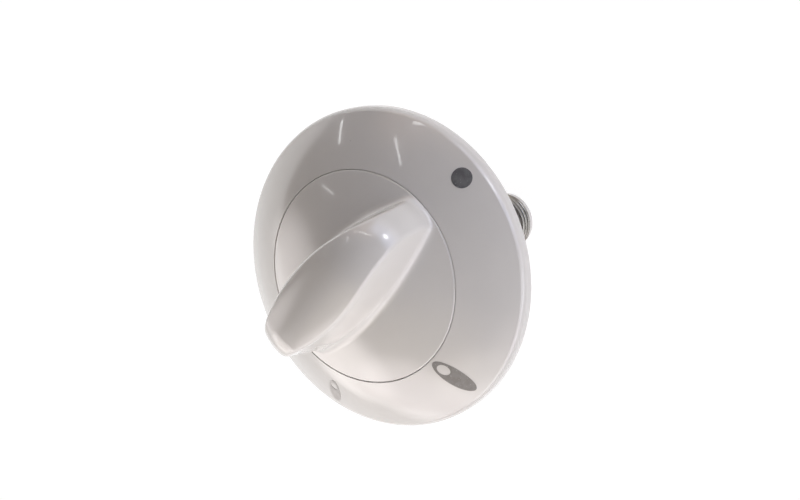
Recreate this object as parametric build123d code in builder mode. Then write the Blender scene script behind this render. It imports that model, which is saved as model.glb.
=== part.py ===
from build123d import *
import os
from math import asin, cos, radians, sin, sqrt, tan

# Long-stemmed stove knob. The axis is Z, the stem's end is at z = 0 and the face looks up.
# The pointer end of the grip and the printed dot lie towards +Y.

# Face: one dome shared by the handle and the dial ring round it
dial_diameter = 54.0
ring_width = 9.25
dome_radius = 40.0
seam_height = 47.0
face_wall = 2.0
seam_gap = 0.05
handle_edge_round = 0.35
ring_edge_round = 0.08
surface_tolerance = 0.05

# Dial ring's skirt: a straight band below the dome's edge
skirt_height = 2.07
skirt_wall = 1.8
rim_round = 1.8
back_edge_round = 0.4

# Ledge in the ring, and the handle's snap collar that passes through it
seat_depth = 2.4
ledge_width = 2.6
ledge_thickness = 1.6
seat_wall = 2.0
collar_wall = 1.6
collar_clearance = 0.1
snap_lip = 0.4
snap_play = 0.05
snap_height = 1.6
tab_count = 4
tab_slot_width = 3.0
key_clearance = 0.1

# Finger grip: a lens in plan, with a round nose at -Y and a long slope at +Y
grip_width = 14.6
grip_end_width = 5.6
grip_draft = 7.0
grip_height = 14.5
grip_wall = 1.8
grip_crown = 9.0
nose_margin = 1.05
nose_start = 10.25
nose_round = 6.5
nose_turn = 80.0
slope_run = 11.9
top_round = 75.0
slope_margin = 0.3
crest_round = 1.0
foot_round = 1.6

# Stem with a D-shaped socket for the tap's spindle
stem_diameter = 9.8
stem_rise = 8.0
socket_diameter = 6.1
socket_flat = 2.05
socket_depth = 20.0
core_diameter = 4.6
jaw_slit_width = 1.0
jaw_slit_depth = 13.0
gusset_count = 4
gusset_thickness = 1.4
gusset_gap = 1.6
gusset_depth = 12.0

# Coil spring in its groove near the stem's end
wire_diameter = 0.9
coil_turns = 3.0
coil_gap = 0.04
coil_clearance = 0.04
groove_depth = 0.65
end_lip = 0.8

# Printed marks, whose outer ends keep a margin from the dial's edge; the large flame fills the ring
ink_thickness = 0.05
mark_margin = 1.5
dot_diameter = 3.4
flame_gap = 0.5
high_flame_angle = 90.0
low_flame_angle = 157.0

# Flames in shares: the small one of the large one, the width and the eye of a flame's own size
low_flame_share = 0.7
flame_width_share = 0.366
flame_eye_length = 0.28
flame_eye_width = 0.58
flame_eye_offset = 0.25

# Sizes that follow from the ones above
dial_radius = dial_diameter / 2
seam_radius = dial_radius - ring_width
knob_length = seam_height + grip_height
handle_radius = seam_radius - seam_gap / 2
ring_bore_radius = seam_radius + seam_gap / 2
dome_centre = seam_height - sqrt(dome_radius**2 - seam_radius**2)
inner_dome_radius = dome_radius - face_wall
middle_dome_radius = dome_radius - face_wall / 2
seat_z = seam_height - seat_depth
ledge_bottom = seat_z - ledge_thickness
ledge_radius = ring_bore_radius - ledge_width
seat_wall_radius = ring_bore_radius + seat_wall
skirt_inner_radius = dial_radius - skirt_wall
collar_radius = ledge_radius - collar_clearance
collar_inner_radius = collar_radius - collar_wall
gusset_reach = collar_inner_radius - gusset_gap
snap_top = ledge_bottom - snap_play
collar_bottom = snap_top - snap_height
stem_radius = stem_diameter / 2
stem_top = seam_height + stem_rise
core_top = stem_top - face_wall
neck_radius = stem_radius - groove_depth
coil_pitch = wire_diameter + coil_gap
coil_height = coil_turns * coil_pitch
coil_radius = neck_radius + coil_clearance + wire_diameter / 2
coil_start = end_lip + coil_gap + wire_diameter / 2
groove_length = coil_height + wire_diameter + 2 * coil_gap
mark_inner_radius = ring_bore_radius + ring_edge_round
mark_outer_radius = dial_radius - mark_margin
mark_band = dome_radius * (asin(mark_outer_radius / dome_radius) - asin(mark_inner_radius / dome_radius))
high_flame_length = mark_band - flame_gap
low_flame_length = low_flame_share * high_flame_length


def dome_z(radius, sphere=dome_radius):
    """Height of the face's dome, or of a sphere inside it, at a distance from the axis."""
    return dome_centre + sqrt(sphere**2 - radius**2)


def dome_arc(start, end, sphere=dome_radius):
    """Arc of the dome's section between two distances from the axis."""
    middle = (start + end) / 2
    return ThreePointArc(
        (start, dome_z(start, sphere)), (middle, dome_z(middle, sphere)), (end, dome_z(end, sphere))
    )


def lies_on_dome(edge):
    """Whether the middle of an edge lies on the face's dome."""
    return abs((edge @ 0.5 - Vector(0, 0, dome_centre)).length - dome_radius) < surface_tolerance


def arc_between(start, end, centre):
    """The shorter arc from one point to another about a centre."""
    middle = centre + ((start + end) * 0.5 - centre).normalized() * (start - centre).length
    return ThreePointArc(start, middle, end)


def grip_form(inset):
    """Outer form of the grip, or the form of its hollow when it is taken in by a wall."""
    half_width = grip_width / 2 - inset
    half_end = grip_end_width / 2 - inset
    top = knob_length - inset
    # Plan: two long arcs for the sides and an arc for the nose, which touches both
    nose_tip = handle_radius - nose_margin - inset
    bulge = half_width - half_end
    side_radius = (handle_radius**2 + bulge**2) / (2 * bulge)
    side_centre = half_width - side_radius
    tip_radius = (side_radius**2 - side_centre**2 - nose_tip**2) / (2 * (side_radius - nose_tip))
    touch_share = side_radius / (side_radius - tip_radius)
    touch_x = side_centre - side_centre * touch_share
    touch_y = (tip_radius - nose_tip) * touch_share
    # Side view in the plane x = 0: nose, roof, slope down to the pointer end
    roof_centre = Vector(0, 0, top - top_round)
    roof_y = inset - nose_start
    roof_end = roof_centre + Vector(0, roof_y, sqrt(top_round**2 - roof_y**2))
    nose_centre = roof_end + (roof_centre - roof_end).normalized() * nose_round
    nose_low = nose_centre + Vector(0, -sin(radians(nose_turn)), cos(radians(nose_turn))) * nose_round
    slope_y = handle_radius - handle_edge_round - slope_margin - inset
    brow_y = slope_y - slope_run
    brow = roof_centre + Vector(0, brow_y, sqrt(top_round**2 - brow_y**2))
    slope_foot = Vector(0, slope_y, dome_z(slope_y))
    chord = slope_foot - brow
    brow_normal = (roof_centre - brow).normalized()
    slope_centre = brow + brow_normal * (chord.length**2 / (2 * chord.dot(brow_normal)))
    foot_heading = Vector(0, slope_foot.Z - slope_centre.Z, slope_centre.Y - slope_foot.Y).normalized()
    with BuildPart() as form:
        with BuildSketch(Plane.XY.offset(seat_z)):
            with BuildLine():
                right = ThreePointArc((touch_x, touch_y), (half_width, 0), (half_end, handle_radius))
                left = ThreePointArc((-touch_x, touch_y), (-half_width, 0), (-half_end, handle_radius))
                ThreePointArc(right @ 0, (0, -nose_tip), left @ 0)
                Line(right @ 1, left @ 1)
            make_face()
        extrude(amount=top + crest_round - seat_z, taper=grip_draft)
        with BuildLine() as crest:
            arc_between(nose_low, roof_end, nose_centre)
            arc_between(roof_end, brow, roof_centre)
            arc_between(brow, slope_foot, slope_centre)
            Line(slope_foot, slope_foot + foot_heading * seat_depth)
        side_view = crest.wire()
        with BuildSketch(Plane(side_view @ 0, x_dir=(1, 0, 0), z_dir=side_view % 0)):
            with BuildLine():
                crown_half = grip_width / 2 - tan(radians(grip_draft)) * (grip_height - crest_round)
                crown_sag = grip_crown - sqrt(grip_crown**2 - crown_half**2)
                crown = ThreePointArc((-crown_half, crown_sag), (0, 0), (crown_half, crown_sag))
                Polyline(crown @ 1, (crown_half, -grip_height), (-crown_half, -grip_height), crown @ 0)
            make_face()
        sweep(path=side_view, mode=Mode.SUBTRACT)
        Cylinder(handle_radius - handle_edge_round, 2 * knob_length, mode=Mode.INTERSECT)
        if inset == 0:
            crest_lines = form.edges().filter_by(GeomType.BSPLINE)
            fillet(crest_lines.filter_by(lambda edge: edge.center().Z > seam_height), crest_round)
    return form.part


# Hollow of the handle: the space inside its collar and inside the grip, open at the back
with BuildPart() as hollow:
    add(grip_form(grip_wall))
    Cylinder(collar_inner_radius, 2 * knob_length, mode=Mode.INTERSECT)
    with BuildSketch(Plane.XZ):
        with BuildLine():
            dome_arc(0, collar_inner_radius, inner_dome_radius)
            Polyline(
                (collar_inner_radius, dome_z(collar_inner_radius, inner_dome_radius)),
                (collar_inner_radius, collar_bottom),
                (0, collar_bottom),
                (0, dome_z(0, inner_dome_radius)),
            )
        make_face()
    revolve(axis=Axis.Z)

# Handle: domed face with the finger grip on it, snap collar below and the long stem
with BuildPart() as grip_handle:
    with BuildSketch(Plane.XZ) as face_profile:
        with BuildLine():
            dome_arc(0, handle_radius)
            Polyline(
                (handle_radius, dome_z(handle_radius)),
                (handle_radius, seat_z),
                (collar_radius, seat_z),
                (collar_radius, snap_top),
                (collar_radius + snap_lip, snap_top),
                (collar_radius, collar_bottom),
                (0, collar_bottom),
                (0, dome_z(0)),
            )
        make_face()
        face_corner = Vector(handle_radius, dome_z(handle_radius))
        fillet(face_profile.vertices().sort_by_distance(face_corner)[0], handle_edge_round)
    revolve(axis=Axis.Z)
    add(grip_form(0))
    dome_edges = grip_handle.edges(Select.LAST).filter_by(lies_on_dome)
    fillet(dome_edges.filter_by(GeomType.CIRCLE, reverse=True), foot_round)
    add(hollow.part, mode=Mode.SUBTRACT)
    with BuildSketch(Plane.XY.offset(collar_bottom)):
        with PolarLocations(collar_radius, tab_count, start_angle=180 / tab_count):
            Rectangle(2 * collar_wall + 2 * snap_lip, tab_slot_width)
    extrude(amount=seat_z - collar_bottom, mode=Mode.SUBTRACT)
    with BuildSketch():
        Circle(stem_radius)
    extrude(amount=stem_top)
    for turn in range(gusset_count):
        with BuildSketch(Plane.XZ.rotated((0, 0, (turn + 0.5) * 360 / gusset_count))):
            with BuildLine():
                dome_arc(0, gusset_reach, middle_dome_radius)
                Polyline(
                    (gusset_reach, dome_z(gusset_reach, middle_dome_radius)),
                    (gusset_reach, dome_z(gusset_reach, inner_dome_radius) - gusset_thickness),
                    (0, seam_height - gusset_depth),
                    (0, dome_z(0, middle_dome_radius)),
                )
            make_face()
        extrude(amount=gusset_thickness / 2, both=True)
    with BuildSketch():
        Circle(socket_diameter / 2)
        with Locations((0, socket_flat)):
            Rectangle(socket_diameter, socket_diameter, align=(Align.CENTER, Align.MIN), mode=Mode.SUBTRACT)
    extrude(amount=socket_depth, mode=Mode.SUBTRACT)
    with BuildSketch(Plane.XY.offset(socket_depth)):
        Circle(core_diameter / 2)
    extrude(amount=core_top - socket_depth, mode=Mode.SUBTRACT)
    with BuildSketch():
        Rectangle(stem_diameter, jaw_slit_width)
    extrude(amount=jaw_slit_depth, mode=Mode.SUBTRACT)
    with BuildSketch(Plane.XY.offset(end_lip)):
        Circle(stem_radius)
        Circle(neck_radius, mode=Mode.SUBTRACT)
    extrude(amount=groove_length, mode=Mode.SUBTRACT)
grip_handle.part.label = "grip_handle"

# Dial ring: domed shell with a short skirt, and the keyed ledge that carries the handle
skirt_back = dome_z(dial_radius) - skirt_height
with BuildPart() as dial_ring:
    with BuildSketch(Plane.XZ) as ring_profile:
        with BuildLine():
            dome_arc(ring_bore_radius, dial_radius)
            Polyline(
                (dial_radius, dome_z(dial_radius)),
                (dial_radius, skirt_back),
                (skirt_inner_radius, skirt_back),
                (skirt_inner_radius, dome_z(skirt_inner_radius, inner_dome_radius)),
            )
            dome_arc(seat_wall_radius, skirt_inner_radius, inner_dome_radius)
            Polyline(
                (seat_wall_radius, dome_z(seat_wall_radius, inner_dome_radius)),
                (seat_wall_radius, ledge_bottom),
                (ledge_radius, ledge_bottom),
                (ledge_radius, seat_z),
                (ring_bore_radius, seat_z),
                (ring_bore_radius, dome_z(ring_bore_radius)),
            )
        make_face()
        for corner, size in (
            (Vector(dial_radius, dome_z(dial_radius)), rim_round),
            (Vector(dial_radius, skirt_back), back_edge_round),
            (Vector(ring_bore_radius, dome_z(ring_bore_radius)), ring_edge_round),
        ):
            fillet(ring_profile.vertices().sort_by_distance(corner)[0], size)
    revolve(axis=Axis.Z)
    with BuildSketch(Plane.XY.offset(ledge_bottom)):
        key_reach = ring_bore_radius - collar_inner_radius
        with PolarLocations(ring_bore_radius - key_reach / 2, tab_count, start_angle=180 / tab_count):
            Rectangle(key_reach, tab_slot_width - 2 * key_clearance)
    extrude(amount=ledge_thickness)
dial_ring.part.label = "dial_ring"

# Coil spring that pulls the jaws of the stem onto the spindle
with BuildPart() as stem_spring:
    with BuildLine():
        coil = Helix(coil_pitch, coil_height, coil_radius, center=(0, 0, coil_start))
    with BuildSketch(Plane(coil @ 0, z_dir=coil % 0)):
        Circle(wire_diameter / 2)
    sweep(path=coil, is_frenet=True)
stem_spring.part.label = "stem_spring"


def printed_mark(length, angle, outline):
    """Film of ink on the ring, cut to an outline drawn in the plane that touches the dome there."""
    tilt = asin(mark_outer_radius / dome_radius) - length / 2 / dome_radius
    film_edges = (mark_inner_radius, (mark_outer_radius + dial_radius) / 2)
    with BuildPart() as mark:
        with BuildSketch(Plane.XZ):
            with BuildLine():
                dome_arc(*film_edges)
                dome_arc(*film_edges, dome_radius + ink_thickness)
                for radius in film_edges:
                    Line((radius, dome_z(radius)), (radius, dome_z(radius, dome_radius + ink_thickness)))
            make_face()
        revolve(axis=Axis.Z)
        normal = Vector(sin(tilt) * sin(radians(angle)), sin(tilt) * cos(radians(angle)), cos(tilt))
        along = Vector(cos(tilt) * sin(radians(angle)), cos(tilt) * cos(radians(angle)), -sin(tilt))
        with BuildSketch(Plane(Vector(0, 0, dome_centre) + normal * dome_radius, x_dir=along, z_dir=normal)):
            outline()
        extrude(amount=face_wall, both=True, mode=Mode.INTERSECT)
    return mark.part


def flame(length):
    """A flame as a long ellipse with an oval left open near its inner end."""
    width = flame_width_share * length
    Ellipse(length / 2, width / 2)
    with Locations((-flame_eye_offset * length, 0)):
        Ellipse(flame_eye_length * length / 2, flame_eye_width * width / 2, mode=Mode.SUBTRACT)


off_dot = printed_mark(dot_diameter, 0, lambda: Circle(dot_diameter / 2))
off_dot.label = "off_dot"
high_flame_mark = printed_mark(high_flame_length, high_flame_angle, lambda: flame(high_flame_length))
high_flame_mark.label = "high_flame_mark"
low_flame_mark = printed_mark(low_flame_length, low_flame_angle, lambda: flame(low_flame_length))
low_flame_mark.label = "low_flame_mark"

os.makedirs("parts", exist_ok=True)
export_step(grip_handle.part, "parts/grip_handle.step")
export_step(dial_ring.part, "parts/dial_ring.step")
export_step(stem_spring.part, "parts/stem_spring.step")
for mark in (off_dot, high_flame_mark, low_flame_mark):
    export_step(mark, f"parts/{mark.label}.step")
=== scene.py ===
# %% [markdown]
# # A stove knob
# A gas stove's knob: a white domed face in two mouldings, a finger grip across the middle,
# a long stem behind that pushes onto the tap, and a steel spring round the end of the stem.
# The shapes come ready from the CAD model and stay as they are. What is left for Blender is
# what the eye sees: plastic, ink, steel, light and the camera.

# %% Load the knob
import math

import bpy
from mathutils import Matrix, Vector


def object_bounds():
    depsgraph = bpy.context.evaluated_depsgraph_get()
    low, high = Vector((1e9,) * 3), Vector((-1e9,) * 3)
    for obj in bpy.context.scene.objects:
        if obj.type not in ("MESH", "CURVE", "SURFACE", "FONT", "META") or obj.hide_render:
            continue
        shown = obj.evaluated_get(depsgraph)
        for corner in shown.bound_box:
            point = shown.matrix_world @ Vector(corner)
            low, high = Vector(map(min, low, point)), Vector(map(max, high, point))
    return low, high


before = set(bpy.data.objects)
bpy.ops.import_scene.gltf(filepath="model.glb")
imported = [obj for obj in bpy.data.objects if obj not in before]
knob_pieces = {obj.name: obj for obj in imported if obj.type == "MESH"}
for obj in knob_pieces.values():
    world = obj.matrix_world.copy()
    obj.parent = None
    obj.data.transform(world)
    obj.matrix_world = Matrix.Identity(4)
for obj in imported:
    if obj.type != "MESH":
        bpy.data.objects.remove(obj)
cad_low, cad_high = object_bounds()
MM = 1000
for piece_name in sorted(knob_pieces):
    print(piece_name, "has", len(knob_pieces[piece_name].data.polygons), "faces")
print("the knob is", [round((high - low) * MM, 2) for low, high in zip(cad_low, cad_high)], "mm")

# %% [markdown]
# ## Wiring nodes by hand
# Every finish below is a small net of nodes. In the editor a node is dropped in, its sockets are
# set, and noodles are drawn to the next one. These helpers do the same in one line each: a value
# given for a socket is typed in, and another node's output given for it becomes a noodle.


# %% Helpers for nodes
def add_node(tree, kind, inputs=None, **settings):
    """One node of that kind, with its settings and what its sockets are given."""
    node = tree.nodes.new(kind)
    for setting, value in settings.items():
        setattr(node, setting, value)
    for socket, value in (inputs or {}).items():
        if isinstance(value, bpy.types.NodeSocket):
            tree.links.new(value, node.inputs[socket])
        else:
            node.inputs[socket].default_value = value
    return node


def mix_colours(tree, share, first, second):
    """The first colour where share is 0 and the second where it is 1."""
    share_socket, first_socket, second_socket, colour_result = 0, 6, 7, 2
    sockets = {share_socket: share, first_socket: first, second_socket: second}
    return add_node(tree, "ShaderNodeMix", sockets, data_type="RGBA").outputs[colour_result]


def calculate(tree, operation, first, second=0.0):
    """One sum, product or the like of two numbers."""
    node = add_node(tree, "ShaderNodeMath", {0: first, 1: second}, operation=operation)
    return node.outputs["Value"]


def ramp(tree, value, low, high, to_low=0.0, to_high=1.0):
    """value between low and high, stretched to run softly from to_low to to_high."""
    sockets = {
        "Value": value, "From Min": low, "From Max": high, "To Min": to_low, "To Max": to_high}
    node = add_node(tree, "ShaderNodeMapRange", sockets, interpolation_type="SMOOTHSTEP")
    return node.outputs["Result"]


def noise(tree, place, per_metre, detail=2.0):
    """Noise with that many lumps to the metre."""
    sockets = {"Vector": place, "Scale": per_metre, "Detail": detail}
    return add_node(tree, "ShaderNodeTexNoise", sockets).outputs["Fac"]


print("helpers ready: add_node, mix_colours, calculate, ramp, noise")

# %% [markdown]
# ## Node groups
# A finish that several pieces share is best built once, as a node group with named sockets. Each
# material then places the group and types in its own values, such as its own dye.

# %% Helpers for node groups
NUMBER, COLOUR, VECTOR = "NodeSocketFloat", "NodeSocketColor", "NodeSocketVector"


def start_group(name, inputs, outputs):
    """An empty node group with sockets of those names and kinds."""
    group = bpy.data.node_groups.new(name, "ShaderNodeTree")
    for socket, kind in inputs.items():
        group.interface.new_socket(socket, in_out="INPUT", socket_type=kind)
    for socket, kind in outputs.items():
        group.interface.new_socket(socket, in_out="OUTPUT", socket_type=kind)
    given = add_node(group, "NodeGroupInput").outputs
    return group, given


def end_group(group, results):
    """Draws the noodles to the group's outputs."""
    add_node(group, "NodeGroupOutput", results)
    print("group", group.name, "has", len(group.nodes), "nodes")


print("helpers ready: start_group, end_group")

# %% [markdown]
# ## How a gloss moulding looks
# The face and the dial ring come out of polished steel moulds, so they shine, but never like a
# mirror: the plastic shrinks a little as it cools, which leaves a faint waviness, the dye is not
# mixed quite evenly, fingers dull it in patches, and a few specks of dust are caught in it.
# Behind the face nobody polishes the mould, so the back and the stem are dull and grainy.
# One noise could do for all of that. Here each has its own, because each has its own size:
# a cloud of dye is as wide as a finger, a wave a few millimetres, a speck a tenth of one.
# Both mouldings use it, so it is a node group.

# %% Group: moulded plastic
moulding, given = start_group(
    "moulded plastic",
    {"Coordinates": VECTOR, "Facing": VECTOR, "Dye": COLOUR, "Thin dye": COLOUR, "Polish": NUMBER},
    {"Colour": COLOUR, "Roughness": NUMBER, "Height": NUMBER},
)
# lumps to the metre
CLOUDS, WAVES, FINGERMARKS, GRAINS, SPECK_CELLS = 55, 240, 130, 5200, 230
CLOUD_LIMITS = (0.35, 0.65)
# a speck's size is a share of its cell, and most cells have none
SPECK_SIZE, SPECK_CORE = 0.030, 0.015
CELLS_WITHOUT_SPECK = 0.86
SPECK_COLOUR = (0.30, 0.28, 0.26, 1)

cloud_share = ramp(moulding, noise(moulding, given["Coordinates"], CLOUDS, 3.0), *CLOUD_LIMITS)
dyed = mix_colours(moulding, cloud_share, given["Dye"], given["Thin dye"])
cells = add_node(moulding, "ShaderNodeTexVoronoi", {
    "Vector": given["Coordinates"], "Scale": SPECK_CELLS})
near_speck = ramp(moulding, cells.outputs["Distance"], SPECK_SIZE, SPECK_CORE)
cell_colour = add_node(moulding, "ShaderNodeSeparateColor", {"Color": cells.outputs["Color"]})
chosen = calculate(moulding, "GREATER_THAN", cell_colour.outputs["Red"], CELLS_WITHOUT_SPECK)
speck = calculate(moulding, "MULTIPLY", near_speck, chosen)
specked = mix_colours(moulding, speck, dyed, SPECK_COLOUR)

# the stem starts a little below the back of the face, and a face that looks down is a back
FACE_BACK, STEM_START = 0.0395, 0.0375
BACK_LIMITS = (-0.25, -0.6)
FINGER_LIMITS = (0.3, 0.75)
FINGERS_DULL_IT_BY = (0.0, 0.08)
UNPOLISHED_DULLS_IT_BY = 0.32
place = add_node(moulding, "ShaderNodeSeparateXYZ", {"Vector": given["Coordinates"]}).outputs
facing = add_node(moulding, "ShaderNodeSeparateXYZ", {"Vector": given["Facing"]}).outputs
on_stem = ramp(moulding, place["Z"], FACE_BACK, STEM_START)
on_back = ramp(moulding, facing["Z"], *BACK_LIMITS)
unpolished = calculate(moulding, "MAXIMUM", on_stem, on_back)
finger_noise = noise(moulding, given["Coordinates"], FINGERMARKS, 4.0)
fingered = ramp(moulding, finger_noise, *FINGER_LIMITS, *FINGERS_DULL_IT_BY)
polished = calculate(moulding, "ADD", given["Polish"], fingered)
dulled = calculate(moulding, "MULTIPLY", unpolished, UNPOLISHED_DULLS_IT_BY)
moulding_roughness = calculate(moulding, "ADD", polished, dulled)

wavy = noise(moulding, given["Coordinates"], WAVES, 1.0)
grain_noise = noise(moulding, given["Coordinates"], GRAINS)
grainy = calculate(moulding, "MULTIPLY", grain_noise, unpolished)
end_group(moulding, {
    "Colour": specked,
    "Roughness": moulding_roughness,
    "Height": calculate(moulding, "ADD", wavy, grainy),
})

# %% [markdown]
# ## White plastic for the two mouldings
# Cooker knobs are pressed from a hard white plastic with a gloss almost like china. The Principled
# shader gives that with a white base, and a coat stands for the polished skin. The handle and the
# ring are pressed apart and in different batches, so each has its own material with slightly
# different dye. The waviness goes through a Bump node and is only a few thousandths of a
# millimetre high.


# %% Materials: handle plastic and ring plastic
def start_material(name, **sockets):
    """A material with its surface shader and output, and the coordinates that patterns read."""
    material = bpy.data.materials.new(name)
    material.use_nodes = True
    tree = material.node_tree
    tree.nodes.clear()
    values = {socket.replace("_", " "): value for socket, value in sockets.items()}
    shader = add_node(tree, "ShaderNodeBsdfPrincipled", values)
    add_node(tree, "ShaderNodeOutputMaterial", {"Surface": shader.outputs["BSDF"]})
    coordinates = add_node(tree, "ShaderNodeTexCoord").outputs
    return material, tree, shader, coordinates


def use_group(tree, shader, group, sockets, bump_height):
    """Places a finish's group and draws its noodles to the shader."""
    finish = add_node(tree, "ShaderNodeGroup", sockets, node_tree=group)
    bump = add_node(tree, "ShaderNodeBump", {
        "Strength": 1.0, "Distance": bump_height, "Height": finish.outputs["Height"]})
    tree.links.new(finish.outputs["Colour"], shader.inputs["Base Color"])
    tree.links.new(finish.outputs["Roughness"], shader.inputs["Roughness"])
    tree.links.new(bump.outputs["Normal"], shader.inputs["Normal"])


WAVE_HEIGHT = 0.000006


def white_plastic(name, dye, thin_dye, polish):
    """One batch of gloss white plastic."""
    material, tree, shader, coordinates = start_material(
        name, IOR=1.5, Coat_Weight=1.0, Coat_Roughness=0.04, Coat_IOR=1.5)
    use_group(tree, shader, moulding, {
        "Coordinates": coordinates["Object"], "Facing": coordinates["Normal"],
        "Dye": dye, "Thin dye": thin_dye, "Polish": polish}, bump_height=WAVE_HEIGHT)
    return material


handle_plastic = white_plastic(
    "handle plastic", dye=(0.735, 0.715, 0.69, 1), thin_dye=(0.765, 0.745, 0.715, 1), polish=0.17)
ring_plastic = white_plastic(
    "ring plastic", dye=(0.73, 0.712, 0.688, 1), thin_dye=(0.76, 0.738, 0.71, 1), polish=0.18)
print("two white plastics, polished to a roughness of about a fifth under a clear gloss skin")

# %% [markdown]
# ## Printed marks
# The dot and the two flames are pressed on with a soft pad and ink. Such ink is thin: it lies
# unevenly, a few pinholes let the white plastic through, and it is duller than the moulding.
# All three marks share one group, and only the ink in the pot differs: dark for off, a warm grey
# for the large flame and a pale grey for the small one.

# %% Group and materials: printing ink
printing, given = start_group(
    "printing ink",
    {"Coordinates": VECTOR, "Ink": COLOUR, "Thin ink": COLOUR},
    {"Colour": COLOUR, "Roughness": NUMBER, "Height": NUMBER},
)
INK_CLOUDS, PINHOLES = 900, 5200
PINHOLE_LIMITS = (0.70, 0.78)
INK_ROUGHNESS = (0.34, 0.46)
INK_HEIGHT = 0.000004
BARE_PLASTIC = (0.72, 0.71, 0.70, 1)
ink_share = ramp(printing, noise(printing, given["Coordinates"], INK_CLOUDS, 3.0), *CLOUD_LIMITS)
inked = mix_colours(printing, ink_share, given["Ink"], given["Thin ink"])
pinholes = ramp(printing, noise(printing, given["Coordinates"], PINHOLES, 1.0), *PINHOLE_LIMITS)
pinholed = mix_colours(printing, pinholes, inked, BARE_PLASTIC)
end_group(printing, {
    "Colour": pinholed,
    "Roughness": ramp(printing, ink_share, 0.0, 1.0, *INK_ROUGHNESS),
    "Height": noise(printing, given["Coordinates"], INK_CLOUDS),
})


def ink_material(name, ink, thin_ink):
    """One pot of printing ink."""
    material, tree, shader, coordinates = start_material(name, IOR=1.48)
    use_group(tree, shader, printing, {
        "Coordinates": coordinates["Object"], "Ink": ink, "Thin ink": thin_ink},
        bump_height=INK_HEIGHT)
    return material


dark_ink = ink_material(
    "dark ink", ink=(0.115, 0.115, 0.12, 1), thin_ink=(0.155, 0.155, 0.16, 1))
grey_ink = ink_material(
    "grey ink", ink=(0.235, 0.22, 0.205, 1), thin_ink=(0.28, 0.265, 0.25, 1))
pale_ink = ink_material(
    "pale grey ink", ink=(0.52, 0.505, 0.49, 1), thin_ink=(0.60, 0.585, 0.57, 1))
print("three inks from one group")

# %% [markdown]
# ## Drawn steel wire
# The spring's wire is pulled through a die, which leaves fine streaks along it, and it has never
# been polished. The streaks have to follow the wire round the stem, so the pattern isn't laid on
# straight coordinates: the angle round the stem, the distance from it and the height make a new
# set, and noise that is stretched a hundredfold along the angle runs round with the wire.
# Only the spring has this finish, so it stays in its own material.

# %% Material: spring steel
spring_steel, tree, shader, coordinates = start_material("spring steel", Metallic=1.0)
STREAKS, TARNISH = 4200, 500
TURN_STRETCH = 0.00004
STREAK_HEIGHT = 0.000008
TARNISH_LIMITS = (0.35, 0.7)
STEEL_ROUGHNESS = (0.24, 0.42)
DARK_STREAK, LIGHT_STREAK = (0.24, 0.23, 0.215, 1), (0.44, 0.43, 0.41, 1)
TARNISHED = (0.17, 0.155, 0.135, 1)

axes = add_node(tree, "ShaderNodeSeparateXYZ", {"Vector": coordinates["Object"]}).outputs
turn = calculate(tree, "ARCTAN2", axes["Y"], axes["X"])
x_squared = calculate(tree, "MULTIPLY", axes["X"], axes["X"])
y_squared = calculate(tree, "MULTIPLY", axes["Y"], axes["Y"])
across = calculate(tree, "SQRT", calculate(tree, "ADD", x_squared, y_squared))
along_wire = add_node(tree, "ShaderNodeCombineXYZ", {
    "X": calculate(tree, "MULTIPLY", turn, TURN_STRETCH), "Y": across, "Z": axes["Z"]})
streaks = noise(tree, along_wire.outputs["Vector"], STREAKS, 3.0)
tarnish = ramp(tree, noise(tree, coordinates["Object"], TARNISH, 3.0), *TARNISH_LIMITS)
bright_steel = mix_colours(tree, streaks, DARK_STREAK, LIGHT_STREAK)
steel_colour = mix_colours(tree, tarnish, bright_steel, TARNISHED)
drawn = add_node(tree, "ShaderNodeBump", {
    "Strength": 1.0, "Distance": STREAK_HEIGHT, "Height": streaks})
steel_roughness = ramp(tree, tarnish, 0.0, 1.0, *STEEL_ROUGHNESS)
tree.links.new(steel_colour, shader.inputs["Base Color"])
tree.links.new(steel_roughness, shader.inputs["Roughness"])
tree.links.new(drawn.outputs["Normal"], shader.inputs["Normal"])
print("spring steel has", len(tree.nodes), "nodes")

# %% [markdown]
# ## Dress the pieces
# Each CAD piece keeps its shape and only gets its finish, in the first and only material slot.

# %% Give each piece its finish
finishes = {
    "grip_handle": handle_plastic,
    "dial_ring": ring_plastic,
    "stem_spring": spring_steel,
    "off_dot": dark_ink,
    "high_flame_mark": grey_ink,
    "low_flame_mark": pale_ink,
}
for piece_name, finish in finishes.items():
    slots = knob_pieces[piece_name].data.materials
    slots.clear()
    slots.append(finish)
    print(piece_name, "is now", finish.name)

# %% [markdown]
# ## The floor
# The knob stands on its stem on a white table. A lit white table is hard to keep white without
# flooding the knob with light, so the table shows itself as plain white to the camera and in
# reflections, and only a fifth of what the camera sees there is real light, which is enough to
# carry the soft shadow. Seen from underneath, it lets the camera through.

# %% Floor
FLOOR_SIZE = 6.0
FLOOR_COLOUR = (0.85, 0.85, 0.85, 1)
WHITE = (1, 1, 1, 1)
WHITE_SHARE = 0.8
WHITE_STRENGTH = 1.17
bpy.ops.object.select_all(action="DESELECT")
bpy.ops.mesh.primitive_plane_add(size=FLOOR_SIZE, location=(0, 0, cad_low.z))
floor = bpy.context.object
floor.name = "floor"


def mix_shaders(tree, share, first, second):
    """The first shader where share is 0 and the second where it is 1."""
    node = add_node(tree, "ShaderNodeMixShader", {0: share, 1: first, 2: second})
    return node.outputs["Shader"]


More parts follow.
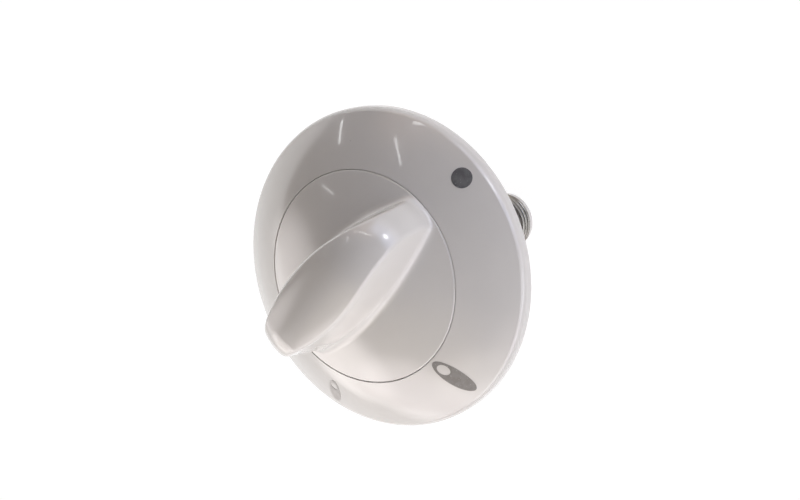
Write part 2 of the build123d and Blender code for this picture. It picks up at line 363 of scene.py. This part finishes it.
table_white = bpy.data.materials.new("table white")
table_white.use_nodes = True
tree = table_white.node_tree
tree.nodes.clear()
ray = add_node(tree, "ShaderNodeLightPath").outputs
mirrored = calculate(tree, "MAXIMUM", ray["Is Glossy Ray"], ray["Is Transmission Ray"])
seen = calculate(tree, "MAXIMUM", ray["Is Camera Ray"], mirrored)
seen_share = calculate(tree, "MULTIPLY", seen, WHITE_SHARE)
matt_white = add_node(tree, "ShaderNodeBsdfDiffuse", {"Color": FLOOR_COLOUR})
plain_white = add_node(tree, "ShaderNodeEmission", {"Color": WHITE, "Strength": WHITE_STRENGTH})
top_side = mix_shaders(
    tree, seen_share, matt_white.outputs["BSDF"], plain_white.outputs["Emission"])
see_through = add_node(tree, "ShaderNodeBsdfTransparent")
underneath = add_node(tree, "ShaderNodeNewGeometry").outputs["Backfacing"]
both_sides = mix_shaders(tree, underneath, top_side, see_through.outputs["BSDF"])
add_node(tree, "ShaderNodeOutputMaterial", {"Surface": both_sides})
floor.data.materials.append(table_white)
print("floor at", round(cad_low.z * MM, 2), "mm, under the end of the stem")

# %% [markdown]
# ## The light
# The knob stands in a white light tent with a dark top: the face looks up into the dark, and soft
# light comes in low from the sides, strongest from the grip's two ends. So the dome shades from
# grey at the back to near white at the front. Lamps could do it, but the sky of the world can be
# painted with soft round fields of light, which have no edges to mirror as hard shapes.
# A field is the cosine of the angle to its direction, stretched so that it is 1 in the middle.

# %% World: the tent
world = bpy.data.worlds.new("light tent")
bpy.context.scene.world = world
world.use_nodes = True
sky = world.node_tree
sky.nodes.clear()
outward = add_node(sky, "ShaderNodeTexCoord").outputs["Generated"]
TENT_TOP = (0.02, 0.02, 0.02)
TENT_SIDE = (1.0, 1.0, 1.0)
# how far up the tent's side is lit at all, and how far fully: sines of the angle above the table
SIDE_ENDS, SIDE_FULL = 0.17, 0.07
STRAIGHT_UP = (0, 0, 1)


def add_light(total, share, colour):
    """Adds a colour of light, as strong as share says, to what is there already."""
    scaled = add_node(
        sky, "ShaderNodeVectorMath", {0: colour, "Scale": share}, operation="SCALE")
    both = add_node(
        sky, "ShaderNodeVectorMath", {0: total, 1: scaled.outputs["Vector"]}, operation="ADD")
    return both.outputs["Vector"]


def along(arrow):
    """How far each direction of the sky points along an arrow, from -1 to 1."""
    node = add_node(
        sky, "ShaderNodeVectorMath", {0: outward, 1: arrow}, operation="DOT_PRODUCT")
    return node.outputs["Value"]


light = add_light(TENT_TOP, ramp(sky, along(STRAIGHT_UP), SIDE_ENDS, SIDE_FULL), TENT_SIDE)
lit_to = math.degrees(math.asin(SIDE_ENDS))
print("tent's side is lit to", round(lit_to), "degrees above the table")

# %% [markdown]
# ## Soft fields
# The fields stand thirty degrees apart in two rings: one just above the table, which lights the
# sides of the grip but hardly its top, and one a little higher, which reaches the face as well.
# The knob's left side is left out and stays dark. One more field hangs high over the nose.
# They are bluish on the right, where a window would be, and warm towards the left.

# %% World: soft fields
# each ring: degrees above the table, degrees over which a field fades, and colours by direction
field_rings = {
    "low": (5, 20, {
        0: (1.85, 1.80, 2.00),
        30: (1.85, 1.85, 2.05),
        60: (1.70, 1.70, 1.90),
        90: (1.05, 1.00, 1.05),
        120: (0.60, 0.65, 0.75),
        150: (0.55, 0.45, 0.30),
        330: (1.35, 1.30, 1.35),
    }),
    "raised": (19, 24, {
        0: (1.05, 0.95, 0.90),
        30: (0.90, 0.90, 0.90),
        120: (0.45, 0.25, 0.05),
        150: (0.45, 0.30, 0.20),
        240: (1.95, 1.85, 1.85),
        270: (2.75, 2.60, 2.55),
        300: (2.25, 2.10, 2.10),
        330: (1.45, 1.35, 1.25),
    }),
    "high": (45, 30, {315: (0.30, 0.25, 0.15)}),
}
FIELD_MIDDLE = 5


def arrow_to(azimuth, elevation):
    """Unit arrow to a place in the sky: degrees from +X towards +Y, and above the table."""
    turn, rise = math.radians(azimuth), math.radians(elevation)
    level = math.cos(rise)
    return Vector((math.cos(turn) * level, math.sin(turn) * level, math.sin(rise)))


def round_field(towards, fades):
    """1 in the middle of a field, falling to 0 at fades degrees from it."""
    outer, inner = math.cos(math.radians(fades)), math.cos(math.radians(FIELD_MIDDLE))
    return ramp(sky, along(towards), outer, inner)


for ring_name, (elevation, fades, colours) in field_rings.items():
    for azimuth, colour in colours.items():
        light = add_light(light, round_field(arrow_to(azimuth, elevation), fades), colour)
    print(ring_name, "ring:", len(colours), "fields", elevation, "degrees above the table")

# %% [markdown]
# ## Narrow strips
# Gloss shows best where it mirrors something narrow. A strip runs from one place in the sky to
# another: near the flat plane through both and the knob, and near the middle between them.
# Most are bright but so thin that they hardly add to the shading, only thin light lines on the
# skin. The wide one is a window, mirrored as a pale glow on the slope at the pointer end, and the
# lamp in it makes the small bright spot there.

# %% World: narrow strips
# each strip: where it starts and ends, half its width in degrees, and its colour
strips = {
    "window at the pointer end": ((72, 16), (116, 16), 14.0, (1.2, 1.4, 1.9)),
    "lamp at the pointer end": ((89, 17), (96, 17), 3.2, (11.0, 11.0, 11.0)),
    "left, upright": ((186, 11), (188, 21), 0.9, (5.5, 5.5, 5.5)),
    "left, high": ((203, 30), (201, 38), 0.8, (3.0, 3.0, 3.0)),
    "back, upright": ((158, 33), (153, 46), 0.9, (5.5, 5.5, 5.5)),
    "back, level": ((150, 27), (116, 30), 0.9, (7.0, 7.0, 7.0)),
}
STRIP_CORE = 0.3


def strip_field(start, end, half_width):
    """1 along the middle of a strip between two arrows, 0 from half_width degrees off it."""
    sideways = calculate(sky, "ABSOLUTE", along(start.cross(end).normalized()))
    half_length = start.angle(end) / 2
    edge = math.radians(half_width)
    narrow = ramp(sky, sideways, math.sin(edge), math.sin(edge * STRIP_CORE))
    to_middle = along((start + end).normalized())
    long = ramp(sky, to_middle, math.cos(half_length + edge), math.cos(half_length))
    return calculate(sky, "MULTIPLY", narrow, long)


for strip_name, (start, end, half_width, colour) in strips.items():
    light = add_light(light, strip_field(arrow_to(*start), arrow_to(*end), half_width), colour)
    print("strip of light:", strip_name)
background = add_node(sky, "ShaderNodeBackground", {"Color": light, "Strength": 1.0})
add_node(sky, "ShaderNodeOutputWorld", {"Surface": background.outputs["Background"]})

# %% [markdown]
# ## The camera
# The knob is looked at from above, over the grip's pointer end, and the camera is turned about its
# own line of sight so that the pointer end of the grip lies to the upper right. A long lens from a
# third of a metre keeps the circles of the face close to ellipses.

# %% Camera
CAMERA_PLACE = Vector((0.0811, 0.2044, 0.34))
LOOKS_AT = Vector((0.00046, 0.00618, 0.04275))
PICTURE_UP = Vector((-0.7569, 0.6196, -0.2078))
lens = bpy.data.cameras.new("camera")
lens.lens = 101.24
lens.sensor_width = 36.0
lens.sensor_fit = "HORIZONTAL"
lens.clip_start = 0.01
lens.clip_end = 20.0
camera = bpy.data.objects.new("camera", lens)
bpy.context.scene.collection.objects.link(camera)
backward = (CAMERA_PLACE - LOOKS_AT).normalized()
rightward = PICTURE_UP.cross(backward).normalized()
upward = backward.cross(rightward)
camera.location = CAMERA_PLACE
camera.rotation_euler = Matrix((rightward, upward, backward)).transposed().to_euler()
bpy.context.scene.camera = camera
bpy.context.scene.view_settings.view_transform = "Standard"
print("camera is", round((CAMERA_PLACE - LOOKS_AT).length * MM), "mm from the face")
